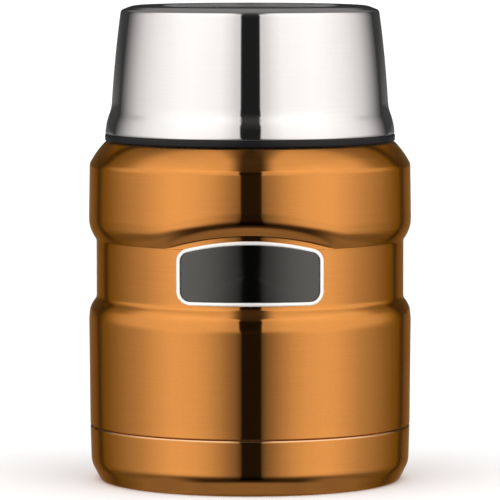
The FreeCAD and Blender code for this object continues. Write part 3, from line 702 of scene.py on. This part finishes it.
lid_ring = shaped("lid_collar_skin", ring_section, [
    (turned, {"Columns": 240, "Material": black_plastic}),
    (screw_thread, {
        **thread_form, "Wall Radius": lid_bore, "Height": -thread_height, "Low": lid_thread_z,
        "First Turn": lid_turn, "Turns": 0.5, "Steps": 60, "Material": black_plastic,
    }),
])
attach(lid_ring, "lid")
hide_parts("lid_collar")
dressed(["lid_bowl"], vessel_steel)

# Lid
# A deep drawn cup of bright brushed steel that widens over its moulded rim. Its top has a bevelled edge and
# a shallow recess, so that it stands steadily when it is turned over as a bowl.
flare_run = 1.8 * mm
flare_height = 7.5 * mm
lid_taper = 2.7 * mm
lid_wall = 0.5 * mm
lid_recess = 0.6 * mm
lid_radius = skirt_radius - flare_run
lid_top_wall_radius = lid_radius - lid_taper
lid_top = lid_high.z
lid_section = section([
    (skirt_radius - 0.25 * mm, lid_low.z),
    (skirt_radius, lid_low.z + 0.3 * mm, 0.2 * mm),
    (skirt_radius, lid_low.z + 0.8 * mm, 0.2 * mm),
    (lid_radius, lid_low.z + flare_height, 2.0 * mm, 0.3 * mm),
    (lid_top_wall_radius, lid_top - 2.2 * mm, 0.7 * mm, 0.28 * mm),
    (lid_top_wall_radius - 0.3 * mm, lid_top - 1.3 * mm, 0.5 * mm),
    (lid_top_wall_radius - 3.6 * mm, lid_top, 1.2 * mm),
    (lid_top_wall_radius - 11.1 * mm, lid_top, 0.4 * mm),
    (lid_top_wall_radius - 11.7 * mm, lid_top - lid_recess, 0.4 * mm),
    (0, lid_top - lid_recess),
])

# Bright stainless steel, brushed as it turns: pale, nearly white in the light, with soft dark bands.
bright_steel = brushed_steel(
    "brushed_stainless_steel", "#F2EEEC", "#FFFFFF", roughness=0.05, lacquer=0.0, glow=0.0, grain=0.35,
    depth=0.02,
)
lid_skin = shaped(
    "lid_skin", outline_mesh(lid_section), [(turned, {"Columns": 240, "Material": bright_steel})],
    wall=lid_wall,
)
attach(lid_skin, "lid")
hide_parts("lid_shell")

# Plate in the waist
# A pressed plate, glued on: a bright raised rim of nickel round a plain face of black nickel. It wraps the
# waist and its top edge follows the arch.
plate_half_width = arch_half_width - 2.6 * mm
plate_low = waist_low + 1.1 * mm
plate_top_gap = 1.4 * mm
plate_corner = 4 * mm
rim_width = 1.1 * mm
face_lift = 0.5 * mm


def plate_loop(inset, lift, steps=10):
    """Points round the plate's outline, this far in from its edge and this far out from the waist."""
    half = plate_half_width - inset
    low = plate_low + inset
    corner = max(plate_corner - inset, 0.2 * mm)
    arch_radius = (arch_half_width**2 + arch_rise**2) / (2 * arch_rise)
    arch_middle = waist_top + arch_rise - arch_radius
    top_radius = arch_radius - plate_top_gap - inset
    inner = half - corner
    rise = math.sqrt((top_radius - corner) ** 2 - inner**2)
    lean = math.atan2(rise, inner)
    right = [(x, low) for x in np.linspace(0, inner, steps)[:-1]]
    for angle in np.linspace(-math.pi / 2, 0, steps):
        right.append((inner + corner * math.cos(angle), low + corner + corner * math.sin(angle)))
    for angle in np.linspace(0, lean, steps):
        right.append((inner + corner * math.cos(angle), arch_middle + rise + corner * math.sin(angle)))
    for angle in np.linspace(lean, math.pi / 2, 2 * steps)[1:]:
        right.append((top_radius * math.cos(angle), arch_middle + top_radius * math.sin(angle)))
    loop = right + [(-x, z) for x, z in reversed(right[1:-1])]
    return [on_waist(x, z, lift) for x, z in loop]


def on_waist(x, z, lift):
    """A point of the front seen straight on, carried back to the waist and lifted from it."""
    return x, -math.sqrt((waist_radius + lift) ** 2 - x**2), z


def wrapped(name, loops, closed):
    """A mesh from loops, each joined to the next. The last joins the first where it is closed."""
    count = len(loops[0])
    faces = []
    for k in range(len(loops) if closed else len(loops) - 1):
        here, there = k * count, (k + 1) % len(loops) * count
        for i in range(count):
            faces.append((here + i, here + (i + 1) % count, there + (i + 1) % count, there + i))
    mesh = bpy.data.meshes.new(name)
    mesh.from_pydata([point for loop in loops for point in loop], [], faces)
    work = bmesh.new()
    work.from_mesh(mesh)
    bmesh.ops.remove_doubles(work, verts=work.verts, dist=1e-6)
    bmesh.ops.recalc_face_normals(work, faces=work.faces)
    work.to_mesh(mesh)
    work.free()
    mesh.shade_smooth()
    piece = bpy.data.objects.new(name, mesh)
    bpy.context.scene.collection.objects.link(piece)
    return piece


# The rim's section goes from its outer foot over its rounded top to its inner foot, as (inset, lift) in mm.
rim_section = [
    (0, 0), (0, 0.35), (0.04, 0.58), (0.14, 0.74), (0.3, 0.8), (0.8, 0.8), (0.96, 0.74), (1.06, 0.58),
    (1.1, 0.35), (1.1, 0),
]
rim_loops = [plate_loop(inset * mm, lift * mm) for inset, lift in rim_section]
plate_rim = wrapped("plate_rim", rim_loops, closed=True)

# The face's loops spread from its middle along the waist to its edge, and come back along its front.
middle_z = (plate_low + waist_top + arch_rise - plate_top_gap) / 2
face_edge = plate_loop(rim_width, 0)
shares = (0.0, 0.08, 0.2, 0.35, 0.5, 0.65, 0.8, 0.9, 0.97, 1.0)
face_loops = [
    [on_waist(x * share, middle_z + (z - middle_z) * share, lift) for x, _, z in face_edge]
    for lift, order in ((0, shares), (face_lift, shares[::-1])) for share in order
]
plate_face = wrapped("plate_face", face_loops, closed=False)

# Nickel plate, satin finished: nearly white in the light, with a soft grey where the dark stripe falls.
finish, tree, output = new_material("satin_nickel_plate")
place = add(tree, "ShaderNodeTexCoord").outputs["Object"]
worn = add(
    tree, "ShaderNodeTexNoise", {"Vector": place, "Scale": 1 / (1.1 * mm), "Detail": 2.0}
).outputs["Fac"]
gloss = add(
    tree, "ShaderNodeMapRange",
    {"Value": worn, "From Min": 0.3, "From Max": 0.7, "To Min": 0.3, "To Max": 0.36},
).outputs[0]
shader = add(
    tree, "ShaderNodeBsdfPrincipled", {"Base Color": linear("#FFFEFA"), "Metallic": 0.5, "Roughness": gloss}
)
tree.links.new(shader.outputs[0], output.inputs[0])
plate_rim.data.materials.append(finish)

# Black nickel under clear lacquer: a dark mirror, smoke grey in the light and black in the dark stripe.
finish, tree, output = new_material("black_nickel_plate")
place = add(tree, "ShaderNodeTexCoord").outputs["Object"]
peel = add(
    tree, "ShaderNodeTexNoise", {"Vector": place, "Scale": 1 / (0.5 * mm), "Detail": 2.0}
).outputs["Fac"]
shade = add(
    tree, "ShaderNodeMapRange",
    {"Value": peel, "From Min": 0.3, "From Max": 0.7, "To Min": 0.94, "To Max": 1.06},
).outputs[0]
tint = add(
    tree, "ShaderNodeVectorMath", {0: linear("#5A5855")[:3], "Scale": shade}, operation="SCALE"
).outputs[0]
relief = add(tree, "ShaderNodeBump", {"Height": peel, "Strength": 0.05, "Distance": 0.01 * mm}).outputs[0]
shader = add(
    tree, "ShaderNodeBsdfPrincipled",
    {"Base Color": tint, "Metallic": 1.0, "Roughness": 0.1, "Normal": relief},
)
tree.links.new(shader.outputs[0], output.inputs[0])
plate_face.data.materials.append(finish)
for piece, node_name, slot_name in (
    (plate_rim, "badge_frame", "plate_rim"), (plate_face, "badge_inlay", "plate_face"),
):
    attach(piece, "jar")
    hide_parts(node_name)

# Studio
# A plain pale floor under soft light, with the camera at the photograph's angle. The light is drawn on the
# world by bearing from the front and by height: pale walls, dark in front, where a darker strip stands.
strip_bearing = math.radians(0.9)
body_strip_middle = 0.0157
lid_strip_middle = 0.006
world = bpy.data.worlds.new("studio")
bpy.context.scene.world = world
world.use_nodes = True
tree = world.node_tree
tree.nodes.clear()
direction = add(tree, "ShaderNodeTexCoord").outputs["Generated"]
parts = add(tree, "ShaderNodeSeparateXYZ", {0: direction}).outputs
ahead = add(tree, "ShaderNodeMath", {0: parts["Y"], 1: -1.0}, operation="MULTIPLY").outputs[0]
bearing = add(tree, "ShaderNodeMath", {0: parts["X"], 1: ahead}, operation="ARCTAN2").outputs[0]
bearing = add(tree, "ShaderNodeMath", {0: bearing, 1: strip_bearing}, operation="SUBTRACT").outputs[0]
bearing = add(tree, "ShaderNodeMath", {0: bearing}, operation="ABSOLUTE").outputs[0]
bearing = add(tree, "ShaderNodeMath", {0: bearing, 1: 1 / math.pi}, operation="MULTIPLY").outputs[0]
height = add(tree, "ShaderNodeMath", {0: parts["Z"]}, operation="ARCSINE").outputs[0]
height = add(tree, "ShaderNodeMath", {0: height, 1: 2 / math.pi}, operation="MULTIPLY").outputs[0]
whole_height = add(
    tree, "ShaderNodeMapRange", {"Value": height, "From Min": -1.0, "From Max": 1.0}
).outputs[0]


def ramp(value, low, high, stops):
    """Straight lines through stops of (degrees, level), for a value of 0 at low and 1 at high degrees."""
    made = add(tree, "ShaderNodeValToRGB", {0: value})
    elements = made.color_ramp.elements
    positions = [(degrees - low) / (high - low) for degrees, _ in stops]
    elements[0].position, elements[1].position = positions[0], positions[-1]
    for position in positions[1:-1]:
        elements.new(position)
    for element, (_, level) in zip(elements, stops):
        element.color = (level, level, level, 1)
    return made.outputs[0]


# How bright the walls are round the jar: low down, as its body shows them, and higher, as its lid does.
# High up behind the jar the light of the low walls comes back.
body_light = ramp(bearing, 0, 180, [
    (0, 0.12), (7.6, 0.13), (9, 0.18), (11, 0.27), (14, 0.34), (18, 0.44), (22, 0.56), (30, 0.76),
    (40, 0.93), (52, 1.0), (60, 0.99), (70, 0.86), (86, 0.6), (98, 0.47), (112, 0.33), (125, 0.22),
    (132, 0.18), (135, 0.1), (138, 0.05), (141, 0.05), (143.5, 0.12), (148, 0.16), (156, 0.17), (180, 0.17),
])
lid_light = ramp(bearing, 0, 180, [
    (0, 0.58), (8.6, 0.6), (13, 0.66), (18, 0.78), (26, 0.92), (36, 0.96), (52, 1.0), (64, 0.98),
    (84, 0.86), (95, 0.76), (108, 0.6), (122, 0.32), (131, 0.14), (138, 0.035), (150, 0.045), (163, 0.05),
    (170, 0.03), (180, 0.025),
])
higher = add(
    tree, "ShaderNodeMapRange", {"Value": height, "From Min": -4 / 90, "From Max": 2 / 90},
    interpolation_type="SMOOTHSTEP",
).outputs[0]
high_up = add(
    tree, "ShaderNodeMapRange", {"Value": height, "From Min": 14 / 90, "From Max": 26 / 90},
    interpolation_type="SMOOTHSTEP",
).outputs[0]
behind = add(
    tree, "ShaderNodeMapRange", {"Value": bearing, "From Min": 95 / 180, "From Max": 120 / 180},
    interpolation_type="SMOOTHSTEP",
).outputs[0]
high_up = add(tree, "ShaderNodeMath", {0: high_up, 1: behind}, operation="MULTIPLY").outputs[0]
higher = add(tree, "ShaderNodeMath", {0: higher, 1: high_up}, operation="SUBTRACT").outputs[0]
walls = add(tree, "ShaderNodeMix", {0: higher, 6: body_light, 7: lid_light}, data_type="RGBA").outputs[2]

# The dark strip in front, at each height: where its middle and its edge are, how soft the edge is and how
# bright the strip is.
strip_middle = ramp(whole_height, -90, 90, [
    (-90, body_strip_middle), (-3, body_strip_middle), (3, lid_strip_middle), (40, lid_strip_middle),
    (48, body_strip_middle), (90, body_strip_middle),
])
strip_side = add(tree, "ShaderNodeMath", {0: parts["X"], 1: strip_middle}, operation="SUBTRACT").outputs[0]
strip_side = add(tree, "ShaderNodeMath", {0: strip_side}, operation="ABSOLUTE").outputs[0]
strip_edge = ramp(whole_height, -90, 90, [
    (-90, 0.112), (-4, 0.112), (2, 0.127), (15, 0.13), (26, 0.127), (40, 0.09), (66, 0.07), (90, 0.03),
])
strip_blur = ramp(whole_height, -90, 90, [
    (-90, 0.022), (32, 0.022), (38, 0.06), (45, 0.2), (55, 0.16), (66, 0.16), (78, 0.26), (90, 0.26),
])
strip_light = ramp(whole_height, -90, 90, [
    (-90, 0.13), (-4, 0.13), (1, 0.02), (20, 0.02), (42, 0.07), (66, 0.12), (90, 0.12),
])
strip_end = add(tree, "ShaderNodeMath", {0: strip_edge, 1: strip_blur}, operation="ADD").outputs[0]
beside_strip = add(
    tree, "ShaderNodeMapRange",
    {
        "Value": strip_side, "From Min": strip_edge, "From Max": strip_end, "To Min": strip_light,
        "To Max": 1.0,
    },
    interpolation_type="SMOOTHSTEP",
).outputs[0]
at_the_back = add(tree, "ShaderNodeMath", {0: ahead, 1: 0.0}, operation="LESS_THAN").outputs[0]
beside_strip = add(tree, "ShaderNodeMath", {0: beside_strip, 1: at_the_back}, operation="MAXIMUM").outputs[0]
walls = add(tree, "ShaderNodeVectorMath", {0: walls, "Scale": beside_strip}, operation="SCALE").outputs[0]

# How bright the walls are at each height, the light from below, and the light that comes further up at the
# sides.
tall = ramp(whole_height, -90, 90, [
    (-90, 0.0), (-52, 0.0), (-43, 0.03), (-35, 0.08), (-28, 0.3), (-21, 0.8), (-13, 0.97), (-9, 0.93),
    (-5, 0.93), (-2.8, 1.0), (5, 1.0), (25, 1.08), (38, 1.16), (45, 1.08), (55, 0.92), (70, 0.78), (90, 0.55),
])
under = ramp(whole_height, -90, 90, [
    (-90, 0.14), (-72, 0.2), (-60, 0.3), (-55, 0.24), (-50, 0.05), (-44, 0.02), (-38, 0.0), (90, 0.0),
])
aside = ramp(whole_height, -90, 90, [
    (-90, 0.0), (-60, 0.0), (-50, 0.22), (-42, 0.26), (-32, 0.12), (-22, 0.0), (90, 0.0),
])
to_the_side = add(
    tree, "ShaderNodeMapRange", {"Value": bearing, "From Min": 40 / 180, "From Max": 75 / 180},
    interpolation_type="SMOOTHSTEP",
).outputs[0]
aside = add(tree, "ShaderNodeVectorMath", {0: aside, "Scale": to_the_side}, operation="SCALE").outputs[0]
lit = add(tree, "ShaderNodeVectorMath", {0: walls, 1: tall}, operation="MULTIPLY").outputs[0]
lit = add(tree, "ShaderNodeVectorMath", {0: lit, 1: under}, operation="ADD").outputs[0]
lit = add(tree, "ShaderNodeVectorMath", {0: lit, 1: aside}, operation="ADD").outputs[0]
studio_light = add(tree, "ShaderNodeBackground", {"Color": lit, "Strength": 1.12}).outputs[0]
backdrop = add(tree, "ShaderNodeBackground", {"Color": linear("#F4F4F4"), "Strength": 1.0}).outputs[0]
seen = add(tree, "ShaderNodeLightPath").outputs["Is Camera Ray"]
choice = add(tree, "ShaderNodeMixShader", {0: seen, 1: studio_light, 2: backdrop}).outputs[0]
add(tree, "ShaderNodeOutputWorld", {0: choice})

floor_reach = 12
floor_corners = [(x * floor_reach, y * floor_reach, 0) for x, y in ((-1, -1), (1, -1), (1, 1), (-1, 1))]
floor_mesh = bpy.data.meshes.new("floor")
floor_mesh.from_pydata(floor_corners, [], [(0, 1, 2, 3)])
floor = bpy.data.objects.new("floor", floor_mesh)
bpy.context.scene.collection.objects.link(floor)
finish, tree, output = new_material("pale_studio_paper")
shader = add(tree, "ShaderNodeBsdfPrincipled", {"Base Color": linear("#F0F0F0"), "Roughness": 0.9})
tree.links.new(shader.outputs[0], output.inputs[0])
floor_mesh.materials.append(finish)
floor.visible_glossy = False

lamp = bpy.data.lights.new("overhead", "SUN")
lamp.angle = math.radians(100)
lamp.energy = 2.6
overhead = bpy.data.objects.new("overhead", lamp)
overhead.location = (0, 0, 3.0)
overhead.visible_glossy = False
bpy.context.scene.collection.objects.link(overhead)

camera_data = bpy.data.cameras.new("camera")
camera_data.lens = 339
camera_data.sensor_width = 36
camera_data.clip_end = 100
camera = bpy.data.objects.new("camera", camera_data)
bpy.context.scene.collection.objects.link(camera)
eye = np.array([0, -1.4, 0.176])
aim = np.array([0, 0, 0.0683])
camera.location = eye
camera.rotation_euler = (math.pi / 2 - math.atan2(eye[2] - aim[2], aim[1] - eye[1]), 0, 0)
bpy.context.scene.camera = camera
bpy.context.scene.view_settings.view_transform = "Standard"
